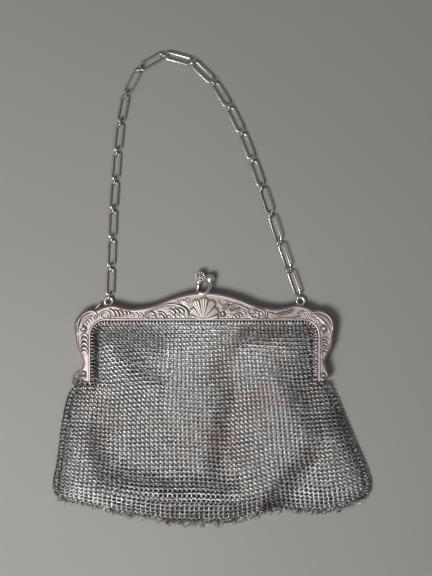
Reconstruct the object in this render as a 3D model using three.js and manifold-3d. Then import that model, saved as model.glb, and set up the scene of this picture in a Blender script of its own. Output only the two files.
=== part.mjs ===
// A ring-mesh alms purse lying on its back: a hinged frame of two cast halves with a shell and leaf
// relief, a snap clasp of two knobs, a pouch of fine metal ring mesh and a chain handle of long links.
// Millimetres. x runs across from the middle of the frame, y runs up from the lower edge of the frame's
// top bar, z runs up from the table. The finished group is moved so that its box stands on the origin.
import * as THREE from "three";
import { mergeVertices } from "three/addons/utils/BufferGeometryUtils.js";
import Module from "manifold-3d";

const wasm = await Module();
wasm.setup();

// Driving sizes
const GAP = 0.3; // clearance between pieces that touch on the real purse
const HALF_THICK = 3.6; // one half of the frame, back to front
const SLIT = 0.4; // between the two closed halves
const FRONT_Z = HALF_THICK + SLIT; // back face of the front half
const FACE_Z = FRONT_Z + HALF_THICK; // front face of the front half
const MID_Z = HALF_THICK + SLIT / 2; // plane in which the frame closes
const EDGE_BEVEL = 0.6; // rounding of the frame's edges
const ARM_INNER_X = 62.5; // inner edge of an arm, from the middle
const ARM_END_Y = -33.3; // lower end of an arm
const CORNER_RADIUS = 8; // inner corner between bar and arm

// Outline of the right half of the frame, three runs that meet in corners
const BAR_TOP = [
  { x: 0, y: 15.8 },
  { x: 9, y: 14.9 },
  { x: 19, y: 12.1 },
  { x: 29, y: 8.3 },
  { x: 38.5, y: 6.8 },
  { x: 45, y: 7.5 },
  { x: 50.5, y: 8.8 },
  { x: 55.5, y: 7.9 },
  { x: 60, y: 6 },
];
const CORNER_LEAF = [
  { x: 64, y: 5.9 },
  { x: 68.2, y: 3.8 },
  { x: 71, y: 0 },
  { x: 71.5, y: -4 },
  { x: 70.6, y: -10 },
  { x: 69.6, y: -15 },
  { x: 66.5, y: -22 },
];
const FOOT = [
  { x: 67.6, y: -27 },
  { x: 68.2, y: -29.8 },
  { x: 67.4, y: -32.4 },
  { x: 65.2, y: ARM_END_Y },
];

// Relief of the front half: the shell's ribs fan out from one point, the rest repeats on both sides
const SHELL = { y: 1.5, from: 2.2 };
const SHELL_RIBS = [
  { angle: 90, to: 12.6, width: 2.7 },
  { angle: 66, to: 12.1, width: 2.6 },
  { angle: 44, to: 10.9, width: 2.5 },
  { angle: 24, to: 9.7, width: 2.3 },
  { angle: 6, to: 8.7, width: 2 },
];
const LEAVES = [
  { x: 12.6, y: 6.2, angle: 52, length: 4.4, width: 1.6 },
  { x: 15.8, y: 6.7, angle: 48, length: 4.6, width: 1.6 },
  { x: 19, y: 5.8, angle: 42, length: 4.2, width: 1.5 },
  { x: 14.6, y: 2.8, angle: 25, length: 4, width: 1.4 },
  { x: 23.4, y: 4.2, angle: 40, length: 3.8, width: 1.4 },
  { x: 27, y: 3.4, angle: 36, length: 3.6, width: 1.4 },
  { x: 39.6, y: 3.6, angle: 36, length: 3.4, width: 1.3 },
  { x: 43.6, y: 4.2, angle: 44, length: 4, width: 1.5 },
  { x: 47.6, y: 4.6, angle: 52, length: 4.8, width: 1.6 },
  { x: 66.4, y: -10, angle: 118, length: 4.8, width: 1.7 },
  { x: 66.2, y: -13.6, angle: 118, length: 4.4, width: 1.6 },
  { x: 65.8, y: -17.2, angle: 116, length: 3.6, width: 1.4 },
];
const BOSSES = [
  { x: 32.6, y: 2.7, radius: 1.2 },
  { x: 54.2, y: 3.6, radius: 2.1 },
  { x: 66.3, y: -4.4, radius: 1.9 },
  { x: 65.4, y: -28.8, radius: 1.6 },
];
const SCROLLS = [
  [
    { x: 10.6, y: 2.6 },
    { x: 10, y: 5.6 },
    { x: 12, y: 8.9 },
    { x: 16, y: 9.6 },
    { x: 22, y: 7.8 },
    { x: 30, y: 4.6 },
  ],
  [
    { x: 58.8, y: 2.2 },
    { x: 60.2, y: 4.6 },
    { x: 64, y: 4.3 },
    { x: 67.6, y: 1.8 },
    { x: 69.4, y: -2.6 },
  ],
];
const RELIEF = { rib: 1.1, leaf: 0.9, boss: 0.9, scroll: 0.5, roll: 0.75 };

// Chain handle: equal links between upright rings, along a route over the table
const LINK_COUNT = 19;
const LINK_WIRE = 0.5; // radius of a long link's wire
const LINK_BEND = 1.9; // radius of a long link's round ends, at the middle of the wire
const RING_RADIUS = 2; // at the middle of the wire
const RING_WIRE = 0.45;
const LINK_BACK = 0.8; // from the middle of a ring back to the end wire of a link
const LINK_DROP = 0.47; // links hang this far below the middle of their rings
const LINK_Z = RING_RADIUS + RING_WIRE - LINK_DROP;
const EYE = { x: 53, y: 10.5, radius: 1.9, wire: 0.6 };
const CHAIN_ROUTE = [
  { x: -52.5, y: 13.07 },
  { x: -51.3, y: 46 },
  { x: -49.6, y: 77.6 },
  { x: -46.6, y: 109 },
  { x: -43.2, y: 126 },
  { x: -36.9, y: 138 },
  { x: -24.6, y: 146.4 },
  { x: -9, y: 143.6 },
  { x: 3.6, y: 132.8 },
  { x: 19.2, y: 106.2 },
  { x: 30.1, y: 77.6 },
  { x: 40.4, y: 46.4 },
  { x: 52.1, y: 12.95 },
];
const LAST_ROLLS = [18, 34, 44, 40]; // degrees by which the last links lean, towards the right eye

// Pouch: each row runs across one level, from its left to its right side, sagging by up to sag
const MESH_THICK = 1.2;
const MOUTH_Z = 6.05; // middle of the front wall where it hangs on the frame
const BODY_Z = 6.9; // middle of the front wall over the hollow
const SEAM_Z = 1.1; // middle of the front wall where it meets the back wall
const SEAM_WIDTH = 17; // the front wall comes down to the seam over this width
const COLUMNS = 20;
const POUCH_ROWS = [
  { y: -0.35, left: -54.3, right: 54.3, sag: 0 },
  { y: -1.4, left: -58.1, right: 58.1, sag: 0 },
  { y: -4.2, left: -60.9, right: 60.9, sag: 0 },
  { y: -8, left: -62.1, right: 62.1, sag: 0 },
  { y: -16, left: -62.1, right: 62.1, sag: 0 },
  { y: -24, left: -62.1, right: 62.1, sag: 0 },
  { y: -33.9, left: -62.1, right: 62.1, sag: 0 },
  { y: -36.4, left: -72.4, right: 69.4, sag: 0 },
  { y: -41, left: -75.2, right: 72.3, sag: 0.3 },
  { y: -47, left: -77, right: 75, sag: 0.8 },
  { y: -54, left: -78.3, right: 77.7, sag: 1.5 },
  { y: -61, left: -79.4, right: 80.6, sag: 2.5 },
  { y: -68, left: -80.2, right: 83.6, sag: 3.7 },
  { y: -75, left: -81, right: 86.8, sag: 5.2 },
  { y: -82, left: -82.2, right: 89.6, sag: 7 },
  { y: -88.5, left: -83.5, right: 91.7, sag: 9 },
  { y: -94, left: -83.6, right: 91.3, sag: 11.5 },
  { y: -97.5, left: -81, right: 88, sag: 14 },
];
// How deep the lower edge hangs, as a share of the sag, from the left to the right corner
const HEM_SHARE = [0, 0.2, 0.42, 0.62, 0.78, 0.95, 1, 1, 0.96, 0.72, 0.42, 0.5, 0.56, 0.4, 0];
// Ridges and hollows of the front wall: a line from one point to another, how wide and how high it is
const FOLDS = [
  { x0: -52, y0: -12, x1: -24, y1: -13, width: 6, height: -1 },
  { x0: -46, y0: -20, x1: -24, y1: -34, width: 4, height: -0.9 },
  { x0: -55, y0: -18, x1: -50, y1: -34, width: 6, height: 1.2 },
  { x0: -10, y0: -20, x1: -14, y1: -80, width: 12, height: 1.3 },
  { x0: 10, y0: -38, x1: 6, y1: -80, width: 6, height: -0.8 },
  { x0: 28, y0: -26, x1: 22, y1: -78, width: 11, height: 1.4 },
  { x0: 24, y0: -9, x1: 54, y1: -8, width: 5, height: -1.1 },
  { x0: 38, y0: -26, x1: 70, y1: -58, width: 6, height: -1.3 },
  { x0: 62, y0: -66, x1: 40, y1: -102, width: 5, height: -1.5 },
  { x0: 66, y0: -78, x1: 62, y1: -96, width: 11, height: 1.4 },
  { x0: -52, y0: -88, x1: 16, y1: -91, width: 5.5, height: -1.6 },
  { x0: -62, y0: -60, x1: -56, y1: -86, width: 5, height: -1.2 },
  { x0: -30, y0: -101, x1: 16, y1: -103, width: 5, height: 1.6 },
];

// Knobs of the clasp
const KNOB_RADIUS = 2.6;
const STEM = 0.75;
const SEAT = STEM + 0.25; // bore that takes a stem's foot
const BACK_STEM = [
  { x: -3.9, y: 13.6, z: 1.8 },
  { x: -3.9, y: 16.4, z: 1.8 },
  { x: -3.5, y: 18.6, z: 2.6 },
  { x: -2.9, y: 21.4, z: 3.6 },
];
const FRONT_STEM = [
  { x: -3, y: 15, z: 7.3 },
  { x: -0.4, y: 14.6, z: 7.6 },
  { x: 1.7, y: 15.9, z: 7.2 },
  { x: 2.8, y: 18.4, z: 5.8 },
  { x: 3, y: 21.4, z: 4 },
];
const KNOB_Y = 22.9;
const KNOB_X = 2.95;
const GRAIN_RINGS = [
  { tilt: 16, count: 8 },
  { tilt: 50, count: 5 },
  { tilt: 90, count: 1 },
];
const GRAIN = 0.95;

// Hinge in the foot of each arm
const HINGE_Y = -31;
const KNUCKLE = 1.4;
const PIN = 0.6;
const HINGE_INNER_X = 63;
const HINGE_SPLIT_X = 65.2;
const HINGE_OUTER_X = 67.2;

const metal = (color, roughness) => new THREE.MeshStandardMaterial({ color, roughness, metalness: 0.95 });
const frameSilver = () => metal(0xb9aeaa, 0.38);
const chainSilver = () => metal(0xa7a09c, 0.32);
const meshSilver = () => metal(0x86827f, 0.45);

// Solids and geometries
function solid(geometry) {
  const bare = geometry.clone();
  for (const name of ["normal", "uv"]) bare.deleteAttribute(name);
  const merged = mergeVertices(bare, 1e-4);
  const vertProperties = new Float32Array(merged.attributes.position.array);
  const triVerts = new Uint32Array(merged.index.array);
  const made = new wasm.Manifold(new wasm.Mesh({ numProp: 3, vertProperties, triVerts }));
  if (made.volume() > 0) return made;
  for (let i = 0; i < triVerts.length; i += 3) {
    [triVerts[i], triVerts[i + 1]] = [triVerts[i + 1], triVerts[i]];
  }
  return new wasm.Manifold(new wasm.Mesh({ numProp: 3, vertProperties, triVerts }));
}

function join(...geometries) {
  return geometries.map(solid).reduce((whole, piece) => whole.add(piece));
}

function meshOf(name, made, material) {
  const { vertProperties, triVerts } = made.getMesh();
  const geometry = new THREE.BufferGeometry();
  geometry.setAttribute("position", new THREE.BufferAttribute(vertProperties, 3));
  geometry.setIndex(new THREE.BufferAttribute(triVerts, 1));
  geometry.computeVertexNormals();
  const mesh = new THREE.Mesh(geometry, material);
  mesh.name = name;
  return mesh;
}

function polygon(radius, sides) {
  const corners = [];
  for (let i = 0; i < sides; i++) {
    const angle = (2 * Math.PI * i) / sides;
    corners.push(new THREE.Vector2(radius * Math.cos(angle), radius * Math.sin(angle)));
  }
  return new THREE.Shape(corners);
}

function curveThrough(points) {
  const stops = points.map(({ x, y, z = 0 }) => new THREE.Vector3(x, y, z));
  return new THREE.CatmullRomCurve3(stops, false, "centripetal");
}

function rod(points, radius, sides, steps) {
  const extrudePath = curveThrough(points);
  return new THREE.ExtrudeGeometry(polygon(radius, sides), { steps, extrudePath, bevelEnabled: false });
}

function bar(radius, x0, x1, y, z) {
  const geometry = new THREE.CylinderGeometry(radius, radius, x1 - x0, 12);
  return geometry.rotateZ(Math.PI / 2).translate((x0 + x1) / 2, y, z);
}

const mirrored = (points) => points.map((p) => ({ ...p, x: -p.x })).reverse();
const flat = (points) => points.map(({ x, y }) => new THREE.Vector2(x, y));

// Frame
function frameShape() {
  const shape = new THREE.Shape();
  const left = BAR_TOP[BAR_TOP.length - 1];
  shape.moveTo(-left.x, left.y);
  shape.splineThru(flat([...mirrored(BAR_TOP).slice(1), ...BAR_TOP.slice(1)]));
  shape.splineThru(flat(CORNER_LEAF));
  shape.splineThru(flat(FOOT));
  shape.lineTo(ARM_INNER_X, ARM_END_Y);
  shape.lineTo(ARM_INNER_X, -CORNER_RADIUS);
  shape.absarc(ARM_INNER_X - CORNER_RADIUS, -CORNER_RADIUS, CORNER_RADIUS, 0, Math.PI / 2, false);
  shape.absarc(CORNER_RADIUS - ARM_INNER_X, -CORNER_RADIUS, CORNER_RADIUS, Math.PI / 2, Math.PI, false);
  shape.lineTo(-ARM_INNER_X, ARM_END_Y);
  shape.lineTo(-FOOT[FOOT.length - 1].x, ARM_END_Y);
  shape.splineThru(flat([...mirrored(FOOT).slice(1), mirrored(CORNER_LEAF)[0]]));
  shape.splineThru(flat([...mirrored(CORNER_LEAF).slice(1), { x: -left.x, y: left.y }]));
  return shape;
}

function frameHalf(z) {
  const geometry = new THREE.ExtrudeGeometry(frameShape(), {
    depth: HALF_THICK - 2 * EDGE_BEVEL,
    bevelThickness: EDGE_BEVEL,
    bevelSize: EDGE_BEVEL,
    bevelOffset: -EDGE_BEVEL,
    bevelSegments: 1,
    curveSegments: 2,
  });
  return geometry.translate(0, 0, z + EDGE_BEVEL);
}

function lobe(x, y, angle, length, width, height) {
  const geometry = new THREE.SphereGeometry(1, 7, 4);
  geometry.rotateX(Math.PI / 2).scale(length / 2, width / 2, height);
  return geometry.rotateZ(THREE.MathUtils.degToRad(angle)).translate(x, y, FACE_Z);
}

function shellRib(angle, to, width) {
  const reach = (SHELL.from + to) / 2;
  const turn = THREE.MathUtils.degToRad(angle);
  const y = SHELL.y + reach * Math.sin(turn);
  return lobe(reach * Math.cos(turn), y, angle, to - SHELL.from, width, RELIEF.rib);
}

function innerRoll() {
  const inset = ARM_INNER_X + RELIEF.roll;
  const cut = CORNER_RADIUS * (1 - Math.SQRT1_2);
  const half = [
    { x: 0, y: RELIEF.roll, z: FACE_Z },
    { x: ARM_INNER_X - CORNER_RADIUS, y: RELIEF.roll, z: FACE_Z },
    { x: inset - cut, y: RELIEF.roll - cut, z: FACE_Z },
    { x: inset, y: -CORNER_RADIUS, z: FACE_Z },
    { x: inset, y: ARM_END_Y + EDGE_BEVEL, z: FACE_Z },
  ];
  return rod([...mirrored(half).slice(0, -1), ...half], RELIEF.roll, 5, 24);
}

function reliefOnBothSides() {
  const pieces = [innerRoll(), shellRib(90, SHELL_RIBS[0].to, SHELL_RIBS[0].width)];
  for (const side of [1, -1]) {
    const turned = (angle) => (side > 0 ? angle : 180 - angle);
    for (const rib of SHELL_RIBS.slice(1)) pieces.push(shellRib(turned(rib.angle), rib.to, rib.width));
    for (const leaf of LEAVES) {
      pieces.push(lobe(side * leaf.x, leaf.y, turned(leaf.angle), leaf.length, leaf.width, RELIEF.leaf));
    }
    for (const boss of BOSSES) {
      pieces.push(lobe(side * boss.x, boss.y, 0, 2 * boss.radius, 2 * boss.radius, RELIEF.boss));
    }
    for (const scroll of SCROLLS) {
      const points = scroll.map(({ x, y }) => ({ x: side * x, y, z: FACE_Z }));
      pieces.push(rod(points, RELIEF.scroll, 5, 6));
    }
  }
  return pieces;
}

// The knuckle nearest the middle belongs to the front half, the outer one to the back half
function withHinges(half, isFront) {
  let made = half;
  for (const side of [1, -1]) {
    const span = (x0, x1) => (side > 0 ? [x0, x1] : [-x1, -x0]);
    const inner = span(HINGE_INNER_X, HINGE_SPLIT_X);
    const outer = span(HINGE_SPLIT_X + GAP, HINGE_OUTER_X);
    const [own, other] = isFront ? [inner, outer] : [outer, inner];
    made = made.subtract(solid(bar(KNUCKLE + GAP, other[0] - GAP, other[1] + GAP, HINGE_Y, MID_Z)));
    made = made.add(solid(bar(KNUCKLE, own[0], own[1], HINGE_Y, MID_Z)));
    made = made.subtract(solid(bar(PIN + GAP, own[0] - 1, own[1] + 1, HINGE_Y, MID_Z)));
  }
  return made;
}

function hingePin(name, side) {
  const ends = [side * HINGE_INNER_X, side * HINGE_OUTER_X].sort((a, b) => a - b);
  return meshOf(name, solid(bar(PIN, ends[0], ends[1], HINGE_Y, MID_Z)), frameSilver());
}

function frameFront() {
  const raised = join(frameHalf(FRONT_Z), ...reliefOnBothSides());
  const seated = raised.subtract(solid(rod(FRONT_STEM, SEAT, 6, 9)));
  return meshOf("frame_front", withHinges(seated, true), frameSilver());
}

function chainEye(side) {
  const ring = new THREE.TorusGeometry(EYE.radius, EYE.wire, 5, 10);
  return ring.translate(side * EYE.x, EYE.y, LINK_Z);
}

function frameBack() {
  const eyed = join(frameHalf(0), chainEye(-1), chainEye(1));
  const seated = eyed.subtract(solid(rod(BACK_STEM, SEAT, 6, 8)));
  return meshOf("frame_back", withHinges(seated, false), frameSilver());
}

// Clasp
function ball(x) {
  return new THREE.SphereGeometry(KNOB_RADIUS, 10, 7).translate(x, KNOB_Y, MID_Z);
}

function grains() {
  const pieces = [];
  for (const { tilt, count } of GRAIN_RINGS) {
    const lift = THREE.MathUtils.degToRad(tilt);
    for (let i = 0; i < count; i++) {
      const turn = (2 * Math.PI * (i + tilt / 90)) / count;
      const away = KNOB_RADIUS * Math.cos(lift);
      const x = -KNOB_X + away * Math.cos(turn);
      const y = KNOB_Y + KNOB_RADIUS * Math.sin(lift);
      const grain = new THREE.IcosahedronGeometry(GRAIN, 0);
      pieces.push(grain.translate(x, y, MID_Z + away * Math.sin(turn)));
    }
  }
  return pieces;
}

function claspBack() {
  const knob = join(ball(-KNOB_X), rod(BACK_STEM, STEM, 6, 8), ...grains());
  return meshOf("clasp_knob_back", knob, frameSilver());
}

function claspFront() {
  return meshOf("clasp_knob_front", join(ball(KNOB_X), rod(FRONT_STEM, STEM, 6, 9)), frameSilver());
}

// Chain
function equalSteps(curve, count) {
  const fine = curve.getSpacedPoints(4000);
  const walk = (step) => {
    const stops = [fine[0]];
    for (const point of fine) {
      if (stops.length <= count && point.distanceTo(stops[stops.length - 1]) >= step) stops.push(point);
    }
    return stops;
  };
  let [low, high] = [1, curve.getLength() / count + 1];
  for (let i = 0; i < 40; i++) {
    const middle = (low + high) / 2;
    if (walk(middle).length > count) low = middle;
    else high = middle;
  }
  return walk(low);
}

function longLinkGeometry(length) {
  const sides = 12;
  const geometry = new THREE.TorusGeometry(LINK_BEND, LINK_WIRE, 5, sides).rotateZ(Math.PI / sides);
  const position = geometry.attributes.position;
  const stretch = length / 2 - LINK_BEND - LINK_WIRE;
  for (let i = 0; i < position.count; i++) {
    const x = position.getX(i);
    position.setX(i, x + Math.sign(x) * stretch);
  }
  return geometry;
}

function place(mesh, origin, along, up) {
  const across = new THREE.Vector3().crossVectors(up, along).normalize();
  const square = new THREE.Vector3().crossVectors(along, across);
  mesh.quaternion.setFromRotationMatrix(new THREE.Matrix4().makeBasis(along, across, square));
  mesh.position.copy(origin);
  return mesh;
}

function leaningUp(along, degrees) {
  return new THREE.Vector3(0, 0, 1).applyAxisAngle(along, THREE.MathUtils.degToRad(degrees));
}

function rollOf(link) {
  return LAST_ROLLS[link - (LINK_COUNT - LAST_ROLLS.length)] ?? 0;
}

function chain() {
  const group = new THREE.Group();
  const stops = equalSteps(curveThrough(CHAIN_ROUTE), LINK_COUNT);
  for (const stop of stops) stop.z = LINK_Z;
  const towards = (a, b) => new THREE.Vector3().subVectors(b, a).normalize();
  const eyes = [-1, 1].map((side) => new THREE.Vector3(side * EYE.x, EYE.y, LINK_Z));
  const pitch = stops[0].distanceTo(stops[1]);
  const linkGeometry = longLinkGeometry(pitch - 2 * LINK_BACK + 2 * LINK_WIRE);
  const ringGeometry = new THREE.TorusGeometry(RING_RADIUS, RING_WIRE, 5, 11);
  const number = (i) => String(i + 1).padStart(2, "0");
  const headings = [towards(eyes[0], stops[0])];
  for (let i = 0; i < LINK_COUNT; i++) headings.push(towards(stops[i], stops[i + 1]));
  headings.push(towards(stops[LINK_COUNT], eyes[1]));

  for (let i = 0; i < LINK_COUNT; i++) {
    const link = new THREE.Mesh(linkGeometry, chainSilver());
    link.name = `chain_link_${number(i)}`;
    const middle = stops[i].clone().lerp(stops[i + 1], 0.5);
    group.add(place(link, middle, headings[i + 1], leaningUp(headings[i + 1], rollOf(i))));
  }
  for (let i = 0; i <= LINK_COUNT; i++) {
    const ring = new THREE.Mesh(ringGeometry, chainSilver());
    ring.name = `chain_ring_${number(i)}`;
    const [before, after] = [headings[i], headings[i + 1]];
    const along = before.clone().add(after).normalize();
    const lean = (rollOf(i - 1) + rollOf(i)) / 2;
    const up = leaningUp(along, lean);
    const reach = Math.sqrt(RING_RADIUS ** 2 - LINK_DROP ** 2) / (2 * along.dot(before));
    const middle = stops[i].clone().addScaledVector(after.clone().sub(before), reach);
    const sideways = new THREE.Vector3().crossVectors(up, along).negate();
    group.add(place(ring, middle.addScaledVector(up, LINK_DROP), along, sideways));
  }
  return group;
}

// Pouch
function between(list, share) {
  const at = share * (list.length - 1);
  const i = Math.min(Math.floor(at), list.length - 2);
  return THREE.MathUtils.lerp(list[i], list[i + 1], at - i);
}

function foldHeight(x, y) {
  let height = 0;
  for (const fold of FOLDS) {
    const [dx, dy] = [fold.x1 - fold.x0, fold.y1 - fold.y0];
    const along = ((x - fold.x0) * dx + (y - fold.y0) * dy) / (dx * dx + dy * dy);
    const near = THREE.MathUtils.clamp(along, 0, 1);
    const away = Math.hypot(x - fold.x0 - near * dx, y - fold.y0 - near * dy);
    height += fold.height * Math.exp(-((away / fold.width) ** 2));
  }
  return height;
}

function easeFrom(low, high, value) {
  return THREE.MathUtils.smoothstep(value, low, high);
}

// Middle of the front wall: high along the frame, down to the back wall along the sides and the hem
function frontHeight(x, y, row, hemAway) {
  const sewn = easeFrom(-ARM_END_Y - 2, -ARM_END_Y + 8, -y);
  const sideAway = Math.min(x - row.left, row.right - x);
  const sideRise = easeFrom(0, SEAM_WIDTH, sideAway) ** 0.7;
  const hemRise = easeFrom(0, SEAM_WIDTH * 0.8, hemAway) ** 0.7;
  const edge = THREE.MathUtils.lerp(MOUTH_Z, SEAM_Z, sewn);
  const hung = easeFrom(0, 9, -y) * THREE.MathUtils.lerp(easeFrom(0, 5, sideAway), 1, sewn);
  const body = THREE.MathUtils.lerp(MOUTH_Z, BODY_Z + foldHeight(x, y), hung);
  return SEAM_Z + (edge + (body - edge) * sideRise - SEAM_Z) * hemRise;
}

function wall(columns, middleOf, inset) {
  const rows = POUCH_ROWS.length - 1;
  const geometry = new THREE.BoxGeometry(1, rows, 1, columns, rows, 1);
  const position = geometry.attributes.position;
  const last = POUCH_ROWS[rows];
  for (let i = 0; i < position.count; i++) {
    const share = position.getX(i) + 0.5;
    const row = POUCH_ROWS[Math.round(rows / 2 - position.getY(i))];
    const hang = between(HEM_SHARE, share);
    const x = THREE.MathUtils.lerp(row.left + inset, row.right - inset, share);
    const y = row.y - row.sag * hang + (row === last ? inset : 0);
    const hemAway = y - (last.y - last.sag * hang);
    const z = middleOf(x, y, row, hemAway) + position.getZ(i) * MESH_THICK;
    position.setXYZ(i, x, y, z);
  }
  return geometry;
}

function pouch() {
  const front = wall(COLUMNS, frontHeight, 0);
  const back = wall(COLUMNS / 2, () => MESH_THICK / 2, GAP);
  return meshOf("mesh_bag", join(front, back), meshSilver());
}

// Assembly
const purse = new THREE.Group();
purse.add(frameFront(), frameBack(), hingePin("hinge_pin_left", -1), hingePin("hinge_pin_right", 1));
purse.add(claspFront(), claspBack(), pouch(), chain());

const part = new THREE.Group();
part.add(purse);
part.updateMatrixWorld(true);
const box = new THREE.Box3().setFromObject(purse, true);
const middle = box.getCenter(new THREE.Vector3());
purse.position.set(-middle.x, -middle.y, -box.min.z);

export default part;
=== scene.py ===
# %% [markdown]
# A ring-mesh alms purse
#
# The purse lies on its back: a hinged metal frame with a shell and leaf relief, a snap clasp of two
# knobs, a pouch of fine linked rings and a chain handle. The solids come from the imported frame. This
# lesson dresses them: it makes real rings for the mesh, a finely modelled relief for the frame and
# smooth wire for the chain, each standing where its solid stands.

# %% Load the frame
import math

import bmesh
import bpy
import numpy as np
from mathutils import Matrix, Vector


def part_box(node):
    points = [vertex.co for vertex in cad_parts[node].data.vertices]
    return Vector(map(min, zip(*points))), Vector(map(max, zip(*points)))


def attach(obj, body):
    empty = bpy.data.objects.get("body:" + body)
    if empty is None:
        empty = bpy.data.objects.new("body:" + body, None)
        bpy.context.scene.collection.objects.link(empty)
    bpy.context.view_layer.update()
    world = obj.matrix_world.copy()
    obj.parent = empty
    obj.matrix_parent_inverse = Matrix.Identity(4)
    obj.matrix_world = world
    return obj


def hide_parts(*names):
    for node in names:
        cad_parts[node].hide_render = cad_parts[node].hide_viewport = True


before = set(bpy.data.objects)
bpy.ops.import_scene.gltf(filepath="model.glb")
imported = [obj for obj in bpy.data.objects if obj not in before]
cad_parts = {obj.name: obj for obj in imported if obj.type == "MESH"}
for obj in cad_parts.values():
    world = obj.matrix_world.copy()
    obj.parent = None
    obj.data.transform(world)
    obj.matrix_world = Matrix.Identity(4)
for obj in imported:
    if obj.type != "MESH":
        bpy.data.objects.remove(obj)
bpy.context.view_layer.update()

MM = 0.001

# %% [markdown]
# A shared ruler
#
# A purse is easiest to draw from its frame: x across from the middle of the frame, y up from the lower
# edge of its top bar, z up from the table, in millimetres. The frame's own box says where that ruler
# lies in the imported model, so nothing has to be fitted by eye.

# %% The purse's own ruler
CREST_Y = 15.8
frame_low, frame_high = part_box("frame_front")
RULER = np.array([(frame_low.x + frame_high.x) / 2, frame_high.y - CREST_Y * MM, 0.0])


def placed(points):
    """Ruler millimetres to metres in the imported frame."""
    return np.asarray(points, float) * MM + RULER


print("ruler starts at", RULER.round(5))

# %% [markdown]
# Camera
#
# The photograph looks straight down on the purse. A long lens keeps the outline free of perspective.
# The field is set so that one picture row is 0.55 mm at the height of the frame's face.

# %% Camera straight above
PICTURE_ROWS = 576
PIXEL = 0.55
VIEW_MIDDLE = (6.3, 17.9)
VIEW_HEIGHT = 0.9
FACE_LEVEL = 6 * MM

camera_data = bpy.data.cameras.new("camera")
camera_data.sensor_fit = "VERTICAL"
camera_data.angle = 2 * math.atan(PICTURE_ROWS * PIXEL * MM / 2 / (VIEW_HEIGHT - FACE_LEVEL))
camera_data.clip_start = 0.01
camera = bpy.data.objects.new("camera", camera_data)
bpy.context.scene.collection.objects.link(camera)
camera.location = (*placed((*VIEW_MIDDLE, 0))[:2], VIEW_HEIGHT)
bpy.context.scene.camera = camera
bpy.context.scene.view_settings.view_transform = "Standard"
print("field of view", round(math.degrees(camera_data.angle), 2), "degrees")

# %% [markdown]
# Table and light
#
# The real purse lies on a plain grey board. Its shadows fall to the upper right, so the key light stands
# at the lower left, and being small it draws each ring's bright side. A very large soft light overhead,
# a little to the left, opens the shadows, and the world is a dim room.

# %% Board
BOARD_HALF = 1.5
BOARD_LEVEL = -0.2 * MM

board_mesh = bpy.data.meshes.new("board")
shaping = bmesh.new()
bmesh.ops.create_grid(shaping, x_segments=2, y_segments=2, size=BOARD_HALF)
shaping.to_mesh(board_mesh)
shaping.free()
board = bpy.data.objects.new("board", board_mesh)
bpy.context.scene.collection.objects.link(board)
board.location = (0, 0, BOARD_LEVEL)

# %% Lights
def soft_light(name, place, size, watts, tint):
    """A square light that faces the middle of the purse."""
    data = bpy.data.lights.new(name, "AREA")
    data.size = size
    data.energy = watts
    data.color = tint
    light = bpy.data.objects.new(name, data)
    bpy.context.scene.collection.objects.link(light)
    light.location = place
    light.rotation_euler = (-Vector(place)).to_track_quat("-Z", "Y").to_euler()


soft_light("key_light", (-0.26, -0.26, 0.54), 0.22, 4.3, (1.0, 0.985, 0.97))
soft_light("overhead_light", (-0.15, 0.0, 0.95), 1.0, 1.3, (0.98, 0.985, 1.0))

world = bpy.data.worlds.new("room")
world.use_nodes = True
world.node_tree.nodes["Background"].inputs["Color"].default_value = (0.9, 0.9, 0.9, 1)
world.node_tree.nodes["Background"].inputs["Strength"].default_value = 0.2
bpy.context.scene.world = world

# %% [markdown]
# Metal finishes
#
# All the metal is old silver plate, but each piece has worn in its own way. The frame is rubbed bright on
# its high places and dark in its hollows. The clasp and the eyes are handled most and shine most. The
# rings are dull, each a little different from its neighbour. The chain is the smoothest. One helper
# mixes a bright and a dull tone by an attribute that the piece carries, adds a fine mottle and lets a
# warm copper tint show in broad patches.
# For the rings that attribute also carries painted shade.

# %% Finish helper
def linked_node(tree, kind, inputs=(), **settings):
    """A shader node with its settings made and its inputs given a value or another node's output."""
    node = tree.nodes.new(kind)
    for setting, value in settings.items():
        setattr(node, setting, value)
    for socket, value in inputs:
        if isinstance(value, bpy.types.NodeSocket):
            tree.links.new(value, node.inputs[socket])
        else:
            node.inputs[socket].default_value = value
    return node


WARM_PATCH = 24
WARM_FROM = 0.52
WARM_FULL = 0.72
PORE = 0.35
PORE_DEPTH = 0.1


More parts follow.
